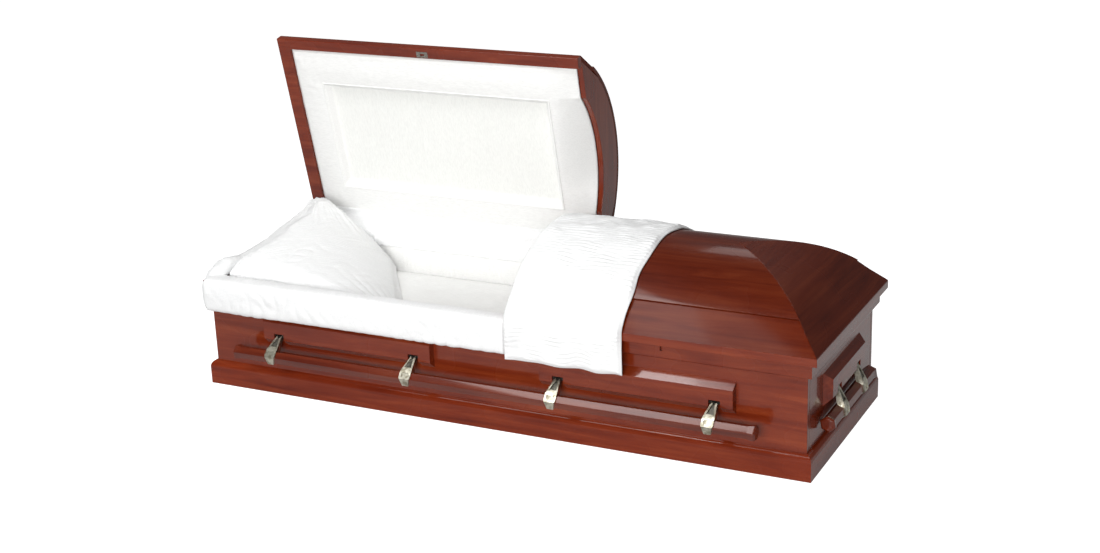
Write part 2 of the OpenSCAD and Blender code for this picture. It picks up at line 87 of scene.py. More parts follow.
CASE_FRONT = CASE_LO.y                  # outside of the front board
RIM_TOP = RIM_HI.z
RIM_OUT = CASE_FRONT - RIM_LO.y         # how far the rim moulding stands out
IN_X, IN_Y = FLOOR_HI.x, FLOOR_HI.y     # half the clear inside of the case
LID_X, LID_Y = LID_HI.x, LID_HI.y       # half the lid's length and width
LIP_TOP = LID_HI.z
SEAM = LID_LO.x                         # the foot lid's cut end
HEADER = HEADER_HI.x - HEADER_LO.x      # thickness of the arched board
CROWN_R = 0.430                         # radius of the crown's arc
CROWN_Z = CROWN_HI.z - CROWN_R
NOSING_Y = CROWN_HI.y
RAIL, END_RAIL = 0.037, 0.046           # widths of a lid's long rails and of its end rail
GAP = 0.0006                            # clearance between a cloth and the wood beside it
WALL_GAP = 0.012                        # room that the shirred lining takes along a wall


def opened(points):
    """Points on the closed head lid, turned back with it to where it stands open."""
    turned = np.array(points, float)
    y, z = turned[..., 1] - PIVOT[1], turned[..., 2] - PIVOT[2]
    c, s = math.cos(OPEN_ANGLE), math.sin(OPEN_ANGLE)
    turned[..., 1] = PIVOT[1] + c * y + s * z
    turned[..., 2] = PIVOT[2] - s * y + c * z
    return turned


print("inside", round(2 * IN_X, 3), "by", round(2 * IN_Y, 3), "m")

# %% [markdown]
# The camera stands in front of the foot end and looks down on the lids. Its turn is built
# from three plain angles: the heading, the downward tilt and a small roll.

# %% Camera
HEADING, TILT, ROLL = (math.radians(a) for a in (26.56, 18.85, -2.035))
CAMERA_AT = (2.4519, -4.7760, 2.2217)
SENSOR, LENS = 36, 57.76                # width of the sensor and focal length, millimetres
ahead = Vector((-math.sin(HEADING) * math.cos(TILT), math.cos(HEADING) * math.cos(TILT),
                -math.sin(TILT)))
level = Vector((math.cos(HEADING), math.sin(HEADING), 0))
above = level.cross(ahead)
right = math.cos(ROLL) * level + math.sin(ROLL) * above
up = math.cos(ROLL) * above - math.sin(ROLL) * level

camera = bpy.data.objects.new("camera", bpy.data.cameras.new("camera"))
camera.data.sensor_width = SENSOR
camera.data.lens = LENS
camera.data.clip_end = 60
turn = Matrix((right, up, -ahead)).transposed().to_4x4()
camera.matrix_world = Matrix.Translation(CAMERA_AT) @ turn
bpy.context.scene.collection.objects.link(camera)
bpy.context.scene.camera = camera
print("camera at", [round(v, 2) for v in camera.location])

# %% [markdown]
# ## Cloth as grids
# Sewn and stuffed cloth is easiest to shape as a grid of points that a formula moves. Two
# helpers turn grids into meshes: a tube for a stuffed roll, and a sheet with a face, a back
# and a hem. Folds come from waves whose crests run one way: taking the size of the wave,
# not the wave itself, gives soft puffs between sharp creases, as gathered cloth has.

# %% Grid helpers
def ease(t):
    """0 to 1 with a soft start and end."""
    t = np.clip(t, 0, 1)
    return t * t * (3 - 2 * t)


def waves(across, along, pitch, length, seed, count=14):
    """Irregular waves, about `pitch` apart in `across`, that drift over `length` in `along`."""
    random = np.random.default_rng(seed)
    total = np.zeros(np.broadcast(across, along).shape)
    for _ in range(count):
        k = 2 * math.pi / (pitch * random.uniform(0.7, 1.6))
        drift = random.normal(0, 1) * 2 * math.pi / length
        total += np.sin(k * across + drift * along + random.uniform(0, 2 * math.pi))
    return total / math.sqrt(count)


def puffs(across, along, pitch, length, seed):
    """Gathered cloth, from 0 in the creases to about 1 on the puffs."""
    fine = np.abs(waves(across, along, pitch * 2, length, seed))
    slow = 0.65 + 0.35 * waves(across, along, pitch * 9, length, seed + 1)
    return np.clip(fine * slow, 0, 1.6)


def normals(grid):
    """Unit normals of a grid of points."""
    n = np.cross(np.gradient(grid, axis=0), np.gradient(grid, axis=1))
    return n / np.maximum(np.linalg.norm(n, axis=-1, keepdims=True), 1e-12)


def make_mesh(name, points, faces):
    mesh = bpy.data.meshes.new(name)
    mesh.from_pydata(points.reshape(-1, 3).tolist(), [], faces)
    bm = bmesh.new()
    bm.from_mesh(mesh)
    bmesh.ops.recalc_face_normals(bm, faces=bm.faces)
    bm.to_mesh(mesh)
    bm.free()
    mesh.shade_smooth()
    piece = bpy.data.objects.new(name, mesh)
    bpy.context.scene.collection.objects.link(piece)
    return piece


def quads(index):
    """The four-sided faces between neighbouring points of a grid of numbers."""
    around = (index[:-1, :-1], index[1:, :-1], index[1:, 1:], index[:-1, 1:])
    return np.stack(around, -1).reshape(-1, 4).tolist()


def tube(name, rings):
    """A closed skin over rings of points, one ring after another, with a cap at both ends."""
    rows, cols = rings.shape[:2]
    index = np.arange(rows * cols).reshape(rows, cols)
    faces = quads(np.hstack([index, index[:, :1]]))
    return make_mesh(name, rings, faces + [index[0].tolist(), index[-1].tolist()])


def sheet_mesh(name, face, back):
    """A face and a back of the same grid, sewn together around the hem."""
    rows, cols = face.shape[:2]
    front = np.arange(rows * cols).reshape(rows, cols)
    behind = front + rows * cols
    hem = np.concatenate([front[0], front[1:, -1], front[-1, -2::-1], front[-2:0:-1, 0]])
    hem = np.append(hem, hem[0])
    faces = quads(front) + quads(behind) + quads(np.stack([hem, hem + rows * cols], 1))
    return make_mesh(name, np.stack([face, back]), faces)


def rounded(outline, count, passes=3):
    """A closed outline with its corners cut smooth, as `count` evenly spaced points."""
    line = np.array(outline, float)
    for _ in range(passes):
        after = np.roll(line, -1, axis=0)
        line = np.stack([0.75 * line + 0.25 * after, 0.25 * line + 0.75 * after], 1)
        line = line.reshape(-1, 2)
    line = np.vstack([line, line[:1]])
    return resample(line, count + 1)[:-1]


def resample(line, count):
    """An open line as `count` evenly spaced points."""
    line = np.array(line, float)
    run = np.concatenate([[0], np.cumsum(np.linalg.norm(np.diff(line, axis=0), axis=1))])
    at = np.linspace(0, run[-1], count)
    return np.stack([np.interp(at, run, line[:, k]) for k in range(line.shape[1])], 1)


# %% [markdown]
# ## Shader groups
# Three effects are shared by several finishes: wood grain, the crinkle of crepe, and the slow
# unevenness that any real surface has. Each is a node group with its own named inputs.

# %% Node helpers
def new_group(name, inputs, outputs):
    """An empty shader group with these sockets, and its input and output nodes."""
    group = bpy.data.node_groups.new(name, "ShaderNodeTree")
    for socket, kind, value in inputs:
        made = group.interface.new_socket(socket, in_out="INPUT", socket_type=kind)
        if value is not None:
            made.default_value = value
    for socket in outputs:
        group.interface.new_socket(socket, in_out="OUTPUT", socket_type="NodeSocketFloat")
    entry = group.nodes.new("NodeGroupInput")
    leave = group.nodes.new("NodeGroupOutput")
    return group, entry, leave


def node(tree, kind, links=(), **settings):
    """A node with its settings, and its inputs linked or set: links is (input, value)."""
    made = tree.nodes.new("ShaderNode" + kind)
    for key, value in settings.items():
        setattr(made, key, value)
    for socket, value in links:
        if isinstance(value, bpy.types.NodeSocket):
            tree.links.new(value, made.inputs[socket])
        else:
            made.inputs[socket].default_value = value
    return made


def scaled(tree, vector, x, y, z):
    """A vector divided by three lengths, so that a pattern repeats at those sizes."""
    lengths = node(tree, "CombineXYZ", [("X", x), ("Y", y), ("Z", z)])
    return node(tree, "VectorMath", [(0, vector), (1, lengths.outputs[0])],
                operation="DIVIDE").outputs[0]


# %% Wood grain group
def build_grain():
    """Streaks of early and late wood along X, with fine dark pores."""
    group, entry, leave = new_group("wood_grain", [
        ("Vector", "NodeSocketVector", None), ("Streak Length", "NodeSocketFloat", 0.5),
        ("Streak Width", "NodeSocketFloat", 0.02), ("Pore Width", "NodeSocketFloat", 0.0012),
    ], ["Tone", "Pores"])
    length, width = entry.outputs["Streak Length"], entry.outputs["Streak Width"]
    fine = entry.outputs["Pore Width"]
    streaks = node(group, "TexNoise", [
        ("Vector", scaled(group, entry.outputs["Vector"], length, width, width)),
        ("Scale", 1.0), ("Detail", 6.0), ("Roughness", 0.62), ("Distortion", 0.9)])
    short = node(group, "Math", [(0, fine), (1, 26.0)], operation="MULTIPLY").outputs[0]
    pores = node(group, "TexNoise", [
        ("Vector", scaled(group, entry.outputs["Vector"], short, fine, fine)),
        ("Scale", 1.0), ("Detail", 3.0), ("Roughness", 0.7)])
    sharp = node(group, "MapRange", [("Value", pores.outputs["Fac"]), ("From Min", 0.50),
                                     ("From Max", 0.72)])
    group.links.new(streaks.outputs["Fac"], leave.inputs["Tone"])
    group.links.new(sharp.outputs["Result"], leave.inputs["Pores"])
    return group


# %% Crepe group
def build_crepe():
    """Crinkled crepe: small broken ridges across the cloth over a fine weave."""
    group, entry, leave = new_group("crepe", [
        ("Vector", "NodeSocketVector", None), ("Crinkle Length", "NodeSocketFloat", 0.02),
        ("Crinkle Width", "NodeSocketFloat", 0.003), ("Weave", "NodeSocketFloat", 0.0007),
    ], ["Height", "Shade"])
    length, width = entry.outputs["Crinkle Length"], entry.outputs["Crinkle Width"]
    weave = entry.outputs["Weave"]
    crinkle = node(group, "TexNoise", [
        ("Vector", scaled(group, entry.outputs["Vector"], length, width, width)),
        ("Scale", 1.0), ("Detail", 4.0), ("Roughness", 0.55), ("Distortion", 0.6)])
    threads = node(group, "TexNoise", [
        ("Vector", scaled(group, entry.outputs["Vector"], weave, weave, weave)),
        ("Scale", 1.0), ("Detail", 1.0)])
    height = node(group, "Math", [(0, threads.outputs["Fac"]), (1, 0.18),
                                  (2, crinkle.outputs["Fac"])], operation="MULTIPLY_ADD")
    group.links.new(height.outputs[0], leave.inputs["Height"])
    group.links.new(crinkle.outputs["Fac"], leave.inputs["Shade"])
    return group


# %% Unevenness group
def build_uneven():
    """Slow patches, for where a finish is a little thicker, darker or duller."""
    group, entry, leave = new_group("uneven", [
        ("Vector", "NodeSocketVector", None), ("Size", "NodeSocketFloat", 0.25),
    ], ["Patch"])
    size_in = entry.outputs["Size"]
    patches = node(group, "TexNoise", [
        ("Vector", scaled(group, entry.outputs["Vector"], size_in, size_in, size_in)),
        ("Scale", 1.0), ("Detail", 2.0)])
    group.links.new(patches.outputs["Fac"], leave.inputs["Patch"])
    return group


GRAIN, CREPE, UNEVEN = build_grain(), build_crepe(), build_uneven()
print("groups:", [g.name for g in (GRAIN, CREPE, UNEVEN)])


# %% [markdown]
# ## Finishes
# The case is cherry, stained red-brown and lacquered: a dark stain in the streaks, a paler
# brown between them, and a clear coat that mirrors the studio. Grain always runs along a
# board, so each direction has its own version of the same finish.

# %% Material helpers
def new_material(name, turn=(0, 0, 0)):
    """A material with its shader, and the piece's own coordinates turned by three angles."""
    material = bpy.data.materials.new(name)
    material.use_nodes = True
    tree = material.node_tree
    shader = tree.nodes["Principled BSDF"]
    place = node(tree, "TexCoord")
    turned = node(tree, "Mapping", [("Vector", place.outputs["Object"]),
                                    ("Rotation", turn)])
    return material, tree, shader, turned.outputs["Vector"]


def use(tree, group, vector, **values):
    """A shader group placed in a material, with its own values."""
    placed = tree.nodes.new("ShaderNodeGroup")
    placed.node_tree = group
    tree.links.new(vector, placed.inputs["Vector"])
    for key, value in values.items():
        placed.inputs[key.replace("_", " ")].default_value = value
    return placed


def blend_colours(tree, factor, stops):
    """Colours at places from 0 to 1, looked up by a varying factor."""
    ramp = node(tree, "ValToRGB", [("Fac", factor)])
    ramp.color_ramp.elements[0].position = stops[0][0]
    ramp.color_ramp.elements[0].color = (*stops[0][1], 1)
    ramp.color_ramp.elements[1].position = stops[-1][0]
    ramp.color_ramp.elements[1].color = (*stops[-1][1], 1)
    for place, colour in stops[1:-1]:
        ramp.color_ramp.elements.new(place).color = (*colour, 1)
    return ramp.outputs["Color"]


# %% Cherry
ALONG_X, ALONG_Y, ALONG_Z = (0, 0, 0), (0, 0, math.pi / 2), (0, math.pi / 2, 0)
STAIN = [(0.44, (0.104, 0.0095, 0.0020)), (0.66, (0.166, 0.0200, 0.0045)),
         (0.90, (0.232, 0.0380, 0.0105))]             # from dark streak to pale wood
PORE = (0.075, 0.012, 0.007, 1)


def cherry(name, turn=ALONG_X, dark=1.0, gloss=0.65):
    """Stained and lacquered cherry: `dark` scales the stain colours, `gloss` is the clear coat.
    On the crowns, end coves and bands the lower `dark` is painted shade.
    """
    material, tree, shader, vector = new_material(name, turn)
    grain = use(tree, GRAIN, vector, Streak_Length=0.50, Streak_Width=0.034,
                Pore_Width=0.0011)
    patch = use(tree, UNEVEN, vector, Size=0.22)
    tone = node(tree, "Math", [(0, patch.outputs["Patch"]), (1, 0.35),
                               (2, grain.outputs["Tone"])], operation="MULTIPLY_ADD")
    stops = [(at, tuple(dark * c for c in colour)) for at, colour in STAIN]
    colour = blend_colours(tree, tone.outputs[0], stops)
    depth = node(tree, "Math", [(0, grain.outputs["Pores"]), (1, 0.25)],
                 operation="MULTIPLY")
    pored = node(tree, "Mix", [("Factor", depth.outputs[0]), (6, colour), (7, PORE)],
                 data_type="RGBA")
    tree.links.new(pored.outputs[2], shader.inputs["Base Color"])
    rough = node(tree, "MapRange", [("Value", patch.outputs["Patch"]), ("To Min", 0.22),
                                    ("To Max", 0.32)])
    tree.links.new(rough.outputs["Result"], shader.inputs["Roughness"])
    bump = node(tree, "Bump", [("Height", grain.outputs["Pores"]), ("Strength", 0.12),
                               ("Distance", 0.0003)], invert=True)
    tree.links.new(bump.outputs["Normal"], shader.inputs["Normal"])
    shader.inputs["Specular IOR Level"].default_value = 0.2 * gloss
    shader.inputs["Coat Weight"].default_value = gloss
    shader.inputs["Coat Roughness"].default_value = 0.08
    return material


CHERRY_X = cherry("cherry_along")
CHERRY_Y = cherry("cherry_across", ALONG_Y)
CHERRY_Z = cherry("cherry_upright", ALONG_Z)
BASE_X = cherry("base_along", dark=1.12, gloss=0.45)
BASE_Y = cherry("base_across", ALONG_Y, dark=1.12, gloss=0.45)
# crowns, end coves and bands: darker copies of the same cherry, painted shade for faces turned up
PAINTED_SHADE_DOME_X = cherry("dome_along_painted_shade", dark=0.62, gloss=0.30)
PAINTED_SHADE_DOME_Y = cherry("dome_across_painted_shade", ALONG_Y, dark=0.64, gloss=0.30)
PAINTED_SHADE_DOME_Z = cherry("dome_upright_painted_shade", ALONG_Z, dark=0.64, gloss=0.30)
PAINTED_SHADE_BAND_X = cherry("band_along_painted_shade", dark=0.68, gloss=0.12)
BAR_X = cherry("bar_along", dark=0.72, gloss=0.75)
BAR_Y = cherry("bar_across", ALONG_Y, dark=0.72, gloss=0.75)

# %% [markdown]
# The arms are cast metal with an antique silver finish: bright where hands and cloths rub,
# and darker in the sunk middle, where the patina stays. Their barrels and pins are painted
# near-black, a painted shade for the dark slots they turn in, and the hinges are plain steel.

# %% Metals
def metal(name, bright, dull, rough, grain_size):
    """Metal that is dull and rough in patches of about `grain_size`, and bright between."""
    material, tree, shader, vector = new_material(name)
    patch = use(tree, UNEVEN, vector, Size=grain_size)
    colour = blend_colours(tree, patch.outputs["Patch"], [(0.36, dull), (0.58, bright)])
    tree.links.new(colour, shader.inputs["Base Color"])
    roughness = node(tree, "MapRange", [("Value", patch.outputs["Patch"]),
                                        ("To Min", rough + 0.2), ("To Max", rough)])
    tree.links.new(roughness.outputs["Result"], shader.inputs["Roughness"])
    bump = node(tree, "Bump", [("Height", patch.outputs["Patch"]), ("Strength", 0.25),
                               ("Distance", 0.0004)])
    tree.links.new(bump.outputs["Normal"], shader.inputs["Normal"])
    shader.inputs["Metallic"].default_value = 1.0
    return material


SILVER = metal("antique_silver", (0.54, 0.52, 0.43), (0.27, 0.245, 0.18), 0.26, 0.014)
STEEL = metal("hinge_steel", (0.34, 0.32, 0.29), (0.16, 0.14, 0.12), 0.38, 0.004)
PATINA = metal("silver_patina", (0.170, 0.165, 0.140), (0.060, 0.056, 0.044), 0.30, 0.012)
# near-black metal for the barrels and pins: painted shade for the dark slots they sit in
SLOT_SHADE_IRON = metal("painted_slot_shade_iron", (0.050, 0.046, 0.040), (0.020, 0.018, 0.016), 0.55, 0.010)

# %% [markdown]
# The interior is crepe, a cloth with a permanent crinkle. The rolls, pillow and overlay are
# clean white, and the sunk panels in the lids are a warmer ivory.

# %% Cloths
def crepe(name, colour, turn=ALONG_X, length=0.018, width=0.0032, strength=0.35):
    """Crepe with crinkles of this length and width; `strength` is how deep they look."""
    material, tree, shader, vector = new_material(name, turn)
    cloth = use(tree, CREPE, vector, Crinkle_Length=length, Crinkle_Width=width,
                Weave=0.0007)
    shade = blend_colours(tree, cloth.outputs["Shade"], [
        (0.30, tuple(0.93 * c for c in colour)), (0.60, colour)])
    tree.links.new(shade, shader.inputs["Base Color"])
    bump = node(tree, "Bump", [("Height", cloth.outputs["Height"]),
                               ("Strength", strength), ("Distance", 0.0012)])
    tree.links.new(bump.outputs["Normal"], shader.inputs["Normal"])
    shader.inputs["Roughness"].default_value = 0.85
    shader.inputs["Sheen Weight"].default_value = 0.15
    return material


WHITE = (0.865, 0.87, 0.87)
IVORY = (0.865, 0.87, 0.84)
WHITE_CREPE = crepe("white_crepe", WHITE)
WHITE_ACROSS = crepe("white_crepe_across", WHITE, ALONG_Y)
LINING_CREPE = crepe("lining_crepe", (0.86, 0.86, 0.845), strength=0.2)
PANEL_CREPE = crepe("panel_crepe", IVORY, ALONG_Z, length=0.06, width=0.004, strength=0.25)
print(len(bpy.data.materials), "finishes")

# %% [markdown]
# ## Finish the joinery
# Real boards have no razor edges: a maker breaks every arris with a touch of sandpaper, and
# that thin rounded line is what catches the light. A small bevel, after welding the corner
# points, does this without touching the frame's own meshes.

# %% Joinery
ACROSS = ("head_base", "foot_base", "head_rim", "foot_rim", "head_end", "foot_end")
LONG_SIDES = ("fron", "back")           # how the names on the two long sides begin
WELD_WITHIN = 0.00001
SHARP = math.radians(28)                # edges sharper than this are broken
WOOD_ARRIS, BAR_ARRIS, ARM_ARRIS, HINGE_ARRIS = 0.0016, 0.0012, 0.0009, 0.0004


def finish_node(name, material, arris, segments=2):
    """Gives a piece of the frame its finish, and breaks its sharp edges."""
    piece = frame["nodes"][name]
    piece.data.materials.clear()
    piece.data.materials.append(material)
    weld = piece.modifiers.new("weld", "WELD")
    weld.merge_threshold = WELD_WITHIN
    bevel = piece.modifiers.new("arris", "BEVEL")
    bevel.width = arris
    bevel.segments = segments
    bevel.limit_method = "ANGLE"
    bevel.angle_limit = SHARP
    piece.modifiers.new("even_light", "WEIGHTED_NORMAL")


ARM_HALF = 0.0072                       # half the width of an arm where it meets its barrel
BARREL = 0.013                          # how far the barrel reaches down from an arm's top
SUNK_FROM, SUNK_TO = 0.002, 0.0035      # about the long recess's depth; the cup's is less
SAME_WAY = 0.995                        # two faces look the same way above this dot product
SLOT_SHADE_INDEX, PATINA_INDEX = 1, 2


def patina_and_shade_arm(name):
    """Patina stays in an arm's long recess; its barrel and pin get near-black painted shade."""
    mesh = frame["nodes"][name].data
    mesh.materials.append(SLOT_SHADE_IRON)
    mesh.materials.append(PATINA)
    points = np.array([v.co for v in mesh.vertices])
    across = 0 if name[:4] in LONG_SIDES else 1
    middle = (points[:, across].min() + points[:, across].max()) / 2
    top = points[:, 2].max() - BARREL
    facing = np.array([face.normal for face in mesh.polygons])
    centres = np.array([face.center for face in mesh.polygons])
    depth = facing @ centres.T - np.sum(facing * centres, 1)[:, None]
    behind = (depth > SUNK_FROM) & (depth < SUNK_TO)
    sunk = ((facing @ facing.T > SAME_WAY) & behind).any(1)
    for face in mesh.polygons:
        at = points[list(face.vertices)]
        # the barrel and pin at the top take the near-black painted shade of the slot
        beside = np.abs(at[:, across] - middle).max() > ARM_HALF
        if beside and at[:, 2].min() > top:
            face.material_index = SLOT_SHADE_INDEX
        else:
            face.material_index = PATINA_INDEX if sunk[face.index] else 0


slots = {row["node"]: row["material_slot"] for row in frame["record"]["subparts"]}
for name, slot in slots.items():
    if slot == "cherry_wood":
        across = name.startswith(ACROSS) or name.endswith("header")
        wood = CHERRY_Y if across else CHERRY_X
        if name == "head_lid_header":
            wood = CHERRY_Z
        if "base" in name:
            wood = BASE_Y if across else BASE_X
        # painted shade: the crowns, end coves and bands take the darker copies of the cherry
        if name.endswith("crown"):
            wood = PAINTED_SHADE_DOME_X
        if name.endswith("band"):
            wood = PAINTED_SHADE_BAND_X
        if name.endswith("end_cove"):
            wood = PAINTED_SHADE_DOME_Z if name.startswith("head") else PAINTED_SHADE_DOME_Y
        finish_node(name, wood, WOOD_ARRIS)
    elif slot == "dark_wood":
        finish_node(name, BAR_X if name[:4] in LONG_SIDES else BAR_Y, BAR_ARRIS)
    elif slot == "silver_metal":
        finish_node(name, SILVER, ARM_ARRIS, 3)
        patina_and_shade_arm(name)
    elif slot == "hinge_steel":
        finish_node(name, STEEL, HINGE_ARRIS)
print("joinery finished")

# %% [markdown]
# ## The rolls over the rim
# A stuffed roll of crepe is stapled inside the case, brought over the rim and left to hang
# outside. In section it is a fat hook. One section is carried along the rim, closed round at
# its ends, and pushed out and in by gathers that run across it.


def press_down(piece):
    """Gives the piece a mesh of its own; nothing is pressed flat."""
    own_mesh(piece)


def roll_rings(section, stations, end_rounds, gather, seed, lift=None):
    """Rings of (station, outward, height): the section along the rim, rounded at its ends."""
    outline = rounded(section, 84)
    middle = outline.mean(0)
    start, finish = stations[0], stations[-1]
    to_end = np.minimum((stations - start) / end_rounds[0], (finish - stations) / end_rounds[1])
    narrow = np.clip(to_end, 0, 1)
    narrow = np.sqrt(np.clip(1 - (1 - narrow) ** 2, 0.02, 1))[:, None, None]
    rings = middle + (outline[None] - middle) * narrow
    tangent = np.roll(outline, -1, axis=0) - np.roll(outline, 1, axis=0)
    outward = np.stack([tangent[:, 1], -tangent[:, 0]], 1)
    outward /= np.linalg.norm(outward, axis=1, keepdims=True)
    if np.sum(outward * (outline - middle)) < 0:
        outward = -outward
    inner = (outline[:, 0] < RIM_OUT + 0.003) & (outline[:, 1] < RIM_TOP + 0.004)
    run = np.linspace(0, 1, len(outline))[None] * 0.4
    folds = puffs(stations[:, None], run, 0.046, 0.12, seed) * gather
    folds += puffs(stations[:, None], run, 0.014, 0.05, seed + 5) * gather * 0.2
    rings = rings + outward[None] * np.where(inner[None], 0, folds * narrow[..., 0])[..., None]
    if lift is not None:
        top = ease((rings[..., 1] - RIM_TOP) / 0.016)
        rings[..., 1] += top * lift(stations)[:, None]
    return rings


ROLL_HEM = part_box("front_roll")[0].z
ROLL_SECTION = [
    (RIM_OUT + 0.001, ROLL_HEM + 0.002), (RIM_OUT + 0.013, ROLL_HEM - 0.002),
    (RIM_OUT + 0.025, ROLL_HEM + 0.006), (RIM_OUT + 0.0265, ROLL_HEM + 0.04),
    (RIM_OUT + 0.026, RIM_TOP - 0.012), (RIM_OUT + 0.018, RIM_TOP + 0.010),
    (RIM_OUT, RIM_TOP + 0.0145), (-0.012, RIM_TOP + 0.0135), (-0.030, RIM_TOP + 0.009),
    (-0.038, RIM_TOP + 0.001), (-0.030, RIM_TOP + GAP),
    (RIM_OUT - 0.004, RIM_TOP + GAP), (RIM_OUT + 0.001, RIM_TOP - 0.003),
]

# %% Front roll
ROLL_LO, ROLL_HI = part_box("front_roll")
along = np.linspace(ROLL_LO.x, ROLL_HI.x + 0.0035, 330)
rings = roll_rings(ROLL_SECTION, along, (0.026, 0.001), 0.0024, 11)
points = np.stack([np.broadcast_to(along[:, None], rings.shape[:2]),
                   CASE_FRONT - rings[..., 0], rings[..., 1]], -1)
front_roll = tube("front_roll_cloth", points)
front_roll.data.materials.append(WHITE_ACROSS)
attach(front_roll, "casket")
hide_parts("front_roll")
press_down(front_roll)

# %% Head roll
HEAD_LO, HEAD_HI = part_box("head_roll")
HEAD_SECTION = [
    (RIM_OUT + 0.001, ROLL_HEM + 0.016), (RIM_OUT + 0.008, ROLL_HEM + 0.014),
    (RIM_OUT + 0.009, ROLL_HEM + 0.05), (RIM_OUT + 0.009, RIM_TOP - 0.005),
    (RIM_OUT + 0.002, RIM_TOP + 0.020), (-0.010, RIM_TOP + 0.030),
    (-0.028, RIM_TOP + 0.024), (-0.040, RIM_TOP + 0.006), (-0.032, RIM_TOP + GAP),
    (RIM_OUT - 0.004, RIM_TOP + GAP), (RIM_OUT + 0.001, RIM_TOP - 0.003),
]
CORNER = 0.055                          # how far the head roll reaches round the corner
along = np.linspace(HEAD_LO.y - CORNER, HEAD_HI.y, 190)


def rise(y):
    """The head roll stands taller toward the hinges, and bunches up near the front corner."""
    bunch = 0.018 * np.exp(-((y - HEAD_LO.y - CORNER) / CORNER) ** 2)
    return bunch + 0.028 * ease((y - HEAD_LO.y) / (HEAD_HI.y - HEAD_LO.y))


rings = roll_rings(HEAD_SECTION, along, (0.07, 0.03), 0.0026, 23, rise)
points = np.stack([-CASE_HI.x - rings[..., 0],
                   np.broadcast_to(along[:, None], rings.shape[:2]), rings[..., 1]], -1)
head_roll = tube("head_roll_cloth", points)
head_roll.data.materials.append(WHITE_CREPE)
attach(head_roll, "casket")
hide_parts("head_roll")
press_down(head_roll)
print("rolls sewn")

# %% [markdown]
# ## The mattress and the side lining
# The mattress is a flat pad, softer toward its edges, with a few shallow creases where the
# cover has settled. The lining inside the walls is shirred: a long strip drawn together on
# threads, so its folds run up and down.

# %% Mattress
def pad(name, low, high, crown, creases, seed, step=0.008):
    """A flat pad between two corners, its top rounded down to the edges."""
    xs = np.linspace(low.x, high.x, int((high.x - low.x) / step))
    ys = np.linspace(low.y, high.y, int((high.y - low.y) / step))
    x, y = np.meshgrid(xs, ys, indexing="ij")
    to_edge = np.minimum(np.minimum(x - low.x, high.x - x), np.minimum(y - low.y, high.y - y))
    top = high.z - crown * (1 - ease(to_edge / 0.05 * 0.5 + 0.5)) * 2
    top = top - creases * puffs(x, y, 0.09, 0.25, seed) * ease(to_edge / 0.03)
    face = np.stack([x, y, top], -1)
    back = np.stack([x, y, np.full_like(x, low.z)], -1)
    return sheet_mesh(name, face, back)


mattress = pad("mattress_cover", MATTRESS_LO, MATTRESS_HI, 0.014, 0.004, 31)
mattress.data.materials.append(LINING_CREPE)
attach(mattress, "casket")
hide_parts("mattress")

# %% Side lining
LINING_LO, LINING_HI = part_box("side_lining")
LINING_T = 0.013


def wall_line(count, corner=0.012):
    """Evenly spaced points around the inside of the walls, with their inward directions."""
    half_x, half_y = LINING_HI.x, LINING_HI.y
    outline = rounded([(-half_x, -half_y), (half_x, -half_y), (half_x, half_y),
                       (-half_x, half_y)], count, passes=0)
    line = np.clip(outline, (-half_x, -half_y), (half_x, half_y))
    x, y = line[:, 0], line[:, 1]
    inward = np.stack([-np.clip((np.abs(x) - half_x + corner) / corner, 0, 1) * np.sign(x),
                       -np.clip((np.abs(y) - half_y + corner) / corner, 0, 1) * np.sign(y)], 1)
    return line, inward / np.maximum(np.linalg.norm(inward, axis=1, keepdims=True), 1e-9)


line, inward = wall_line(1400)
run = np.linspace(0, 2 * (2 * LINING_HI.x + 2 * LINING_HI.y), len(line))[:, None]
turn = np.linspace(0, 1, 26, endpoint=False)[None]
height = LINING_LO.z + (LINING_HI.z + 0.02 - LINING_LO.z) * (
    1 - np.abs(2 * turn - 1)) ** 0.85
on_face = turn < 0.5
depth = np.where(on_face, LINING_T * 0.8, 0.001) * np.ones_like(run)
depth = depth + np.where(on_face, puffs(run, height, 0.013, 0.3, 41) * 0.0030, 0)
depth = np.where(np.abs(turn - 0.5) < 0.03, LINING_T * 0.4, depth)
points = np.concatenate([line[:, None, :] + inward[:, None, :] * depth[..., None],
                         np.broadcast_to(height, depth.shape)[..., None]], -1)
index = np.arange(points.shape[0] * points.shape[1]).reshape(points.shape[:2])
index = np.vstack([np.hstack([index, index[:, :1]]), np.append(index[0], index[0, 0])])
side_lining = make_mesh("side_lining_cloth", points, quads(index))
side_lining.data.materials.append(LINING_CREPE)
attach(side_lining, "casket")
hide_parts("side_lining")
print("mattress and lining in")

# %% [markdown]
# ## The pillow
# The head pillow is a plump wedge. It fills the head end, climbs to the back corner and leans
# on the back wall. Its plan and its heights are simple rules; then air pressure in a short
# cloth simulation swells it, and fine gathers fan out of its sewn edges.

# %% Pillow shape
PILLOW_LO, PILLOW_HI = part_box("pillow")
PILLOW_BASE = PILLOW_LO.z
FRONT_REACH, BACK_REACH = 0.715, 0.320  # how far it lies toward the foot, front and back
HEAD_AT = [0, 0.28, 0.5, 0.7, 0.86, 1]  # parts of the way from the front to the back
HEAD_RISE = [0.148, 0.186, 0.212, 0.228, 0.245, 0.263]


def pillow_grid(rows, cols):
    """The pillow's upper surface: a is across from front to back, t from head to foot."""
    a, t = np.meshgrid(np.linspace(0, 1, rows), np.linspace(0, 1, cols), indexing="ij")
    y = PILLOW_LO.y + (PILLOW_HI.y - PILLOW_LO.y) * a
    reach = (1 - a) * FRONT_REACH + a * BACK_REACH
    x = PILLOW_LO.x + reach * t
    head = np.interp(a, HEAD_AT, HEAD_RISE)
    fall = 1 - t ** (1.9 - 0.45 * a)
    z = PILLOW_BASE + head * fall
    edge = np.minimum(np.minimum(a, 1 - a) * 0.56, (1 - t) * reach)
    z -= 0.020 * (1 - ease(edge / 0.05)) * fall
    z -= 0.008 * (1 - ease(t * reach / 0.04))
    return a, t, np.stack([x, y, np.maximum(z, PILLOW_BASE + 0.001)], -1)


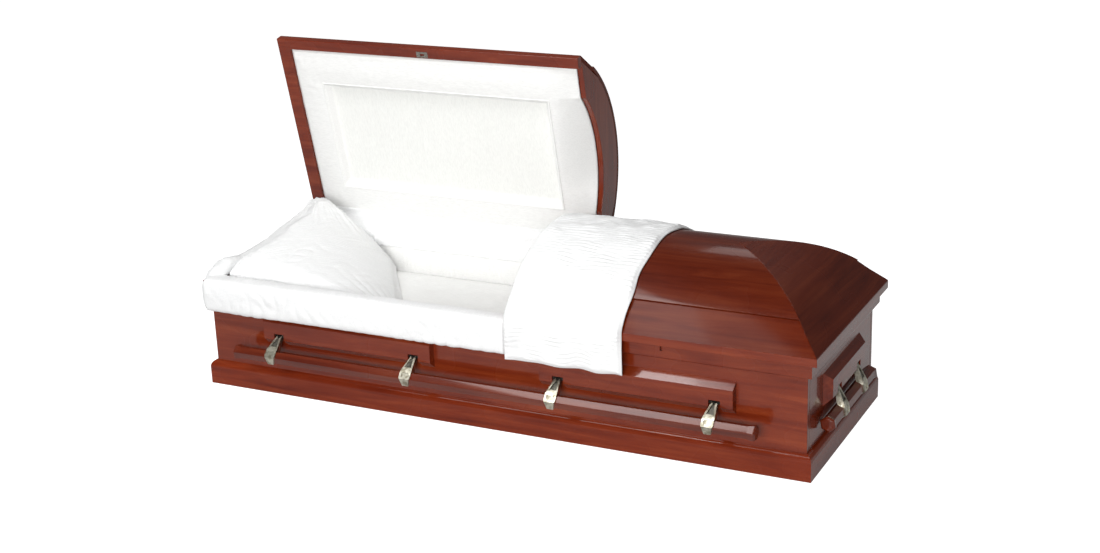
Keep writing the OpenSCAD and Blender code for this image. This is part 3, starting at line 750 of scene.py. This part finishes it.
def swell(piece, voxel, pressure, cap, frames=20):
    """Blows a closed piece up a little with Blender's cloth, no point moving past the cap."""
    scene = bpy.context.scene
    bpy.context.view_layer.objects.active = piece
    remesh = piece.modifiers.new("even_cells", "REMESH")
    remesh.mode = "VOXEL"
    remesh.voxel_size = voxel
    bpy.ops.object.modifier_apply(modifier=remesh.name)
    before = np.array([v.co for v in piece.data.vertices])
    cloth = piece.modifiers.new("air", "CLOTH")
    cloth.settings.use_pressure = True
    cloth.settings.uniform_pressure_force = pressure
    cloth.settings.effector_weights.gravity = 0
    cloth.settings.quality = 4
    for step in range(1, frames + 1):
        scene.frame_set(step)
    ready = piece.evaluated_get(bpy.context.evaluated_depsgraph_get())
    after = np.array([v.co for v in ready.data.vertices])
    scene.frame_set(1)
    piece.modifiers.remove(cloth)
    move = after - before
    far = np.linalg.norm(move, axis=1, keepdims=True)
    move *= np.minimum(1, cap / np.maximum(far, 1e-9))
    piece.data.vertices.foreach_set("co", (before + move).ravel())
    piece.data.shade_smooth()


a, t, face = pillow_grid(90, 110)
back = face.copy()
back[..., 2] = PILLOW_BASE
pillow = sheet_mesh("pillow_cover", face, back)
swell(pillow, 0.006, 4, 0.012)
fine = pillow.modifiers.new("finer", "SUBSURF")
fine.levels = 1
bpy.context.view_layer.objects.active = pillow
bpy.ops.object.modifier_apply(modifier=fine.name)


# %% Pillow gathers
def gather_pillow(piece):
    """Folds that fan out of the two lower corners and the top edge, and fade on the middle."""
    co = np.array([v.co for v in piece.data.vertices])
    n = np.array([v.normal for v in piece.data.vertices])
    x, y, z = co.T
    push = np.zeros(len(co))
    corners = [((PILLOW_LO.x + FRONT_REACH, PILLOW_LO.y), 0.0065, 0.46, 51),
               ((PILLOW_LO.x, PILLOW_LO.y), 0.0045, 0.26, 52),
               ((PILLOW_LO.x + BACK_REACH, PILLOW_HI.y), 0.0045, 0.30, 53),
               ((PILLOW_LO.x, PILLOW_HI.y), 0.0060, 0.34, 54)]
    for (cx, cy), height_in, reach, seed in corners:
        away = np.hypot(x - cx, y - cy)
        angle = np.arctan2(y - cy, x - cx)
        strength = ease(1 - away / reach) * ease(away / 0.04)
        push += strength * height_in * (puffs(angle, away * 0.2, 0.085, 0.5, seed) - 0.4)
    push += 0.0016 * (puffs(y * 0.4 + z, x, 0.022, 0.10, 57) - 0.4)
    push += 0.0009 * (puffs(x * 0.8 - y, z, 0.015, 0.08, 58) - 0.4)
    upper = ease((z - PILLOW_BASE - 0.004) / 0.03)
    co += n * (push * upper)[:, None]
    co[:, 1] = np.clip(co[:, 1], -IN_Y + WALL_GAP, IN_Y - WALL_GAP)
    co[:, 0] = np.maximum(co[:, 0], -IN_X + WALL_GAP)
    co[:, 2] = np.maximum(co[:, 2], PILLOW_BASE)
    piece.data.vertices.foreach_set("co", co.ravel())
    piece.data.update()


gather_pillow(pillow)
pillow.data.materials.append(WHITE_CREPE)
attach(pillow, "casket")
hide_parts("pillow")
press_down(pillow)
print("pillow:", len(pillow.data.vertices), "points")

# %% [markdown]
# ## The lid linings
# Inside each lid is a padded frame of plain crepe around a sunk panel of shirred crepe. At
# the cut end it flares up to meet the arch of the end board. Everything is shaped with the
# lid closed, face down, and the head lid's copy is then turned open with its lid.

# %% Lid lining
BORDER_FACE = LID_LO.z + 0.004
ARCH_HALF, ARCH_RISE = 0.212, 0.062
ARCH_R = (ARCH_HALF ** 2 + ARCH_RISE ** 2) / (2 * ARCH_RISE)
FROM_CUT, FROM_END, PANEL_HALF = 0.111, 0.105, 0.200   # where the sunk panel begins
PANEL_SINK, PIPE_OUT = 0.024, 0.003     # its depth, and its piping's distance outside it


def lid_lining_grid(cut_x, end_x, step=0.0045):
    """The lining's face with the lid closed, and a mask of the sunk panel."""
    length = abs(cut_x - end_x)
    half = LID_Y - RAIL - GAP
    us = np.linspace(0, length, int(length / step))
    ys = np.linspace(-half, half, int(2 * half / step))
    u, y = np.meshgrid(us, ys, indexing="ij")          # u is the way from the cut end
    inside = np.minimum(np.minimum(u - FROM_CUT, length - FROM_END - u),
                        PANEL_HALF - np.abs(y))
    sunk = ease(inside / 0.020)
    arch = LIP_TOP + ARCH_RISE - ARCH_R + np.sqrt(ARCH_R ** 2 - np.minimum(
        np.abs(y), ARCH_HALF) ** 2) - 0.006
    flare = np.clip(1 - u / (FROM_CUT - PIPE_OUT), 0, 1) ** 1.2
    to_rail = np.minimum(np.minimum(u + 0.02, length - u), half - np.abs(y))
    z = BORDER_FACE + PANEL_SINK * sunk + np.maximum(arch - BORDER_FACE, 0) * flare
    z = z - 0.0035 * np.sin(math.pi * np.clip(-inside / 0.10, 0, 1)) * (1 - flare)
    z = z + 0.007 * (1 - ease(to_rail / 0.012)) * (1 - flare)
    shirr = puffs(u, y, 0.010, 0.45, 61) - 0.4
    z = z - sunk * 0.0016 * shirr
    z = z - (1 - sunk) * 0.0009 * (puffs(u + y, u - y, 0.05, 0.12, 62) - 0.4)
    x = cut_x + np.sign(end_x - cut_x) * u
    return np.stack([x, y, z], -1), sunk


def sew_lid_lining(name, body, node_name, cut_x, end_x, turn_open):
    """A lid's lining, with its own cloth on the sunk panel, turned open if the lid is."""
    face, sunk = lid_lining_grid(cut_x, end_x)
    back = face + np.array([0, 0, 0.006])
    piece = sheet_mesh(name, opened(face) if turn_open else face,
                       opened(back) if turn_open else back)
    piece.data.materials.append(LINING_CREPE)
    piece.data.materials.append(PANEL_CREPE)
    cell = (sunk[:-1, :-1] > 0.98).ravel()
    which = np.zeros(len(piece.data.polygons), int)
    which[:len(cell)] = cell
    piece.data.polygons.foreach_set("material_index", which)
    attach(piece, body)
    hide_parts(node_name)


HEAD_CUT, HEAD_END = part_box("head_lid_header")[0].x - GAP, -LID_X + END_RAIL + GAP
FOOT_CUT, FOOT_END = SEAM + HEADER + GAP, LID_X - END_RAIL - GAP
sew_lid_lining("head_lid_lining_cloth", "head_lid", "head_lid_lining",
               HEAD_CUT, HEAD_END, True)
sew_lid_lining("foot_lid_lining_cloth", "foot_lid", "foot_lid_lining",
               FOOT_CUT, FOOT_END, False)


# %% Piping around the sunk panels
PIPE_RADIUS, PIPE_SIDES = 0.0018, 8


def piping(name, path, body):
    """A thin sewn cord around a closed path."""
    line = resample(np.vstack([path, path[:1]]), 700)[:-1]
    ahead_of = np.roll(line, -1, axis=0) - np.roll(line, 1, axis=0)
    ahead_of /= np.linalg.norm(ahead_of, axis=1, keepdims=True)
    side = np.cross(ahead_of, (0.31, 0.17, 0.93))
    side /= np.linalg.norm(side, axis=1, keepdims=True)
    top = np.cross(side, ahead_of)
    angles = np.linspace(0, 2 * math.pi, PIPE_SIDES, endpoint=False)
    rings = line[:, None] + PIPE_RADIUS * (np.cos(angles)[None, :, None] * side[:, None]
                                           + np.sin(angles)[None, :, None] * top[:, None])
    index = np.arange(rings.shape[0] * PIPE_SIDES).reshape(-1, PIPE_SIDES)
    index = np.hstack([index, index[:, :1]])
    index = np.vstack([index, index[:1]])
    piece = make_mesh(name, rings, quads(index))
    piece.data.materials.append(LINING_CREPE)
    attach(piece, body)


def panel_edge(cut_x, end_x):
    """The line where the border turns down into the sunk panel."""
    way = np.sign(end_x - cut_x)
    x0 = cut_x + way * (FROM_CUT - PIPE_OUT)
    x1 = end_x - way * (FROM_END - PIPE_OUT)
    y, z = PANEL_HALF + PIPE_OUT, BORDER_FACE - 0.0008
    return np.array([(x0, -y, z), (x1, -y, z), (x1, y, z), (x0, y, z)])


piping("head_lid_piping", opened(panel_edge(HEAD_CUT, HEAD_END)), "head_lid")
piping("foot_lid_piping", panel_edge(FOOT_CUT, FOOT_END), "foot_lid")
print("lid linings sewn")

# %% [markdown]
# ## The gusset along the hinges
# A soft strip hides the hinges: it comes up from the back lining, rolls over the back rim and
# is sewn to the lid's lining. It joins the case to a lid that moves, but it is shaped once,
# for the open lid, and is attached to neither body.

# %% Gusset
ACROSS_COUNT, ALONG_COUNT = 40, 300     # points across the strip and along it
lid_edge = opened([(0, LID_Y - 0.052, BORDER_FACE - 0.002)])[0]
profile = resample([
    (IN_Y - WALL_GAP, RIM_TOP - 0.040), (IN_Y - 0.015, RIM_TOP - 0.012),
    (IN_Y - 0.010, RIM_TOP + 0.008), (IN_Y + 0.006, RIM_TOP + 0.022),
    (IN_Y + 0.030, RIM_TOP + 0.028), (lid_edge[1] - 0.014, RIM_TOP + 0.032),
    (lid_edge[1] - 0.004, lid_edge[2] + 0.002), (lid_edge[1] - 0.006, lid_edge[2] + 0.020),
], ACROSS_COUNT)
for _ in range(4):
    profile[1:-1] = (profile[:-2] + 2 * profile[1:-1] + profile[2:]) / 4
xs = np.linspace(-IN_X + 0.004, HEAD_CUT - 0.004, ALONG_COUNT)
x = np.broadcast_to(xs[:, None], (ALONG_COUNT, ACROSS_COUNT))
face = np.stack([x, *(np.broadcast_to(profile[:, k], x.shape) for k in (0, 1))], -1)
out = normals(face)
out = out * np.sign(out[150, 20] @ np.array([0, -0.5, 1.0]))
face = face + out * (0.0030 * puffs(x, face[..., 2], 0.021, 0.06, 71))[..., None]
gusset = sheet_mesh("hinge_gusset", face, face - out * 0.005)
gusset.data.materials.append(WHITE_ACROSS)
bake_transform(gusset)

# %% [markdown]
# ## The overlay
# A quilted cloth lies over the closed lid beside the opening and hangs down the front. Its
# path follows the lid: straight down from the lip, a short bridge to the crown, then the
# crown itself. The shirring threads run along the casket, so the creases do too.

# %% Overlay
OVER_LO, OVER_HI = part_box("overlay")
OVER_BACK = 0.236                       # how far behind the ridge its back hem lies
REST = 0.0022                           # how far over the wood its path runs
edge_angle = math.asin(NOSING_Y / CROWN_R)
back_angle = math.asin(OVER_BACK / CROWN_R)
arc = np.linspace(-edge_angle, back_angle, 60)
arc_points = np.stack([(CROWN_R + REST) * np.sin(arc),
                       CROWN_Z + (CROWN_R + REST) * np.cos(arc)], 1)
front_y = -LID_Y - REST
path = np.vstack([[(front_y - 0.002, OVER_LO.z), (front_y - 0.003, OVER_LO.z + 0.07),
                   (front_y, LIP_TOP + 0.001), (front_y + 0.004, LIP_TOP + 0.010)],
                  arc_points])
path = resample(path, 300)
for _ in range(6):
    path[1:-1] = (path[:-2] + 2 * path[1:-1] + path[2:]) / 4
spans = np.linspace(0, 1, 130)
run = np.concatenate([[0], np.cumsum(np.linalg.norm(np.diff(path, axis=0), axis=1))])
s, v = np.meshgrid(run, spans, indexing="ij")
left = OVER_LO.x + 0.0016 + 0.0012 * (waves(run, 0 * run, 0.11, 1, 81) + 1)
right_edge = OVER_HI.x + 0.002 * waves(run, 0 * run, 0.13, 1, 82)
x = left[:, None] + (right_edge - left)[:, None] * v
face = np.stack([x, *(np.broadcast_to(path[:, k][:, None], x.shape) for k in (0, 1))], -1)
out = normals(face)
out = out * np.sign(out[150, 60] @ np.array([0, 0.0, 1.0]))
edge_in = np.minimum(np.minimum(v, 1 - v) * 0.39, np.minimum(s, run[-1] - s))
thick = 0.0035 + 0.0045 * ease(edge_in / 0.015)
shirring = puffs(s, x, 0.0135, 0.13, 83) * 0.0030 + puffs(s, x, 0.006, 0.05, 84) * 0.0008
billow = 0.002 * (waves(s, x, 0.16, 0.4, 85) + 1)
hanging = ease((0.14 - s) / 0.05)
sway = hanging * 0.004 * (waves(x, s, 0.12, 0.5, 86) + 1)
back = face + out * (GAP + sway * 0.6)[..., None]
face = back + out * (thick + (shirring + billow) * ease(edge_in / 0.010))[..., None]
hem_wave = 0.0022 * waves(x, 0 * x, 0.14, 1, 87) * hanging
face[..., 2] += hem_wave
back[..., 2] += hem_wave
overlay = sheet_mesh("overlay_quilt", face, back)
overlay.data.materials.append(WHITE_CREPE)
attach(overlay, "foot_lid")
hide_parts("overlay")

# %% [markdown]
# ## The studio
# A white floor and a white world stand in for a sweep of white paper, which hides where the
# floor ends. One broad light in front shapes the folds, a long one above draws the bright
# lines on the lacquer, a square one catches the panels' bevels, and two weak ones lift the
# back and the foot end.

# %% Floor
bpy.ops.mesh.primitive_plane_add(size=40, location=(0, 0, -0.0005))
floor = bpy.context.object
floor.name = "studio_floor"
paper = bpy.data.materials.new("paper_sweep")
paper.use_nodes = True
surface = paper.node_tree.nodes["Principled BSDF"]
surface.inputs["Roughness"].default_value = 0.9
surface.inputs["Base Color"].default_value = (0.50, 0.50, 0.50, 1)
glow = node(paper.node_tree, "Emission", [("Strength", 0.96)])
either = node(paper.node_tree, "AddShader", [(0, surface.outputs[0]), (1, glow.outputs[0])])
eye = node(paper.node_tree, "LightPath")
seen_or_mirrored = node(paper.node_tree, "Math", [
    (0, eye.outputs["Is Glossy Ray"]), (1, 0.25), (2, eye.outputs["Is Camera Ray"])],
    operation="MULTIPLY_ADD")
final = node(paper.node_tree, "MixShader", [("Fac", seen_or_mirrored.outputs[0]),
                                            (1, surface.outputs[0]), (2, either.outputs[0])])
paper.node_tree.links.new(final.outputs[0],
                          paper.node_tree.nodes["Material Output"].inputs["Surface"])
floor.data.materials.append(paper)


# %% Lights
def softbox(name, place, aim, width, depth, watts):
    """A rectangular light at a place, turned toward a point."""
    light = bpy.data.objects.new(name, bpy.data.lights.new(name, "AREA"))
    light.data.shape = "RECTANGLE"
    light.data.size, light.data.size_y = width, depth
    light.data.energy = watts
    light.location = place
    light.rotation_euler = (Vector(aim) - Vector(place)).to_track_quat("-Z", "Y").to_euler()
    bpy.context.scene.collection.objects.link(light)


softbox("key_front", (1.3, -5.3, 1.8), (0, 0, 0.4), 2.8, 1.8, 240)
softbox("top_strip", (-0.9, -0.34, 3.3), (-0.4, -0.2, 0.3), 3.4, 0.35, 22)
softbox("bevel_light", (-1.0, -1.65, 3.3), (0.3, -0.4, 0.2), 2.0, 1.5, 50)
softbox("back_strip", (0.6, 2.6, 2.8), (0.2, 0, 0.4), 2.6, 0.8, 14)
softbox("foot_fill", (4.6, 1.5, 1.2), (1.0, 0, 0.3), 1.6, 1.2, 10)

world = bpy.data.worlds.new("white_studio")
bpy.context.scene.world = world
world.use_nodes = True
sky = world.node_tree
background = sky.nodes["Background"]
background.inputs["Color"].default_value = (1, 1, 1, 1)
seen = node(sky, "LightPath")
strength = node(sky, "MapRange", [("Value", seen.outputs["Is Camera Ray"]),
                                  ("To Min", 0.13), ("To Max", 1.0)])
sky.links.new(strength.outputs["Result"], background.inputs["Strength"])
bpy.context.scene.view_settings.view_transform = "Standard"
print("studio lit")
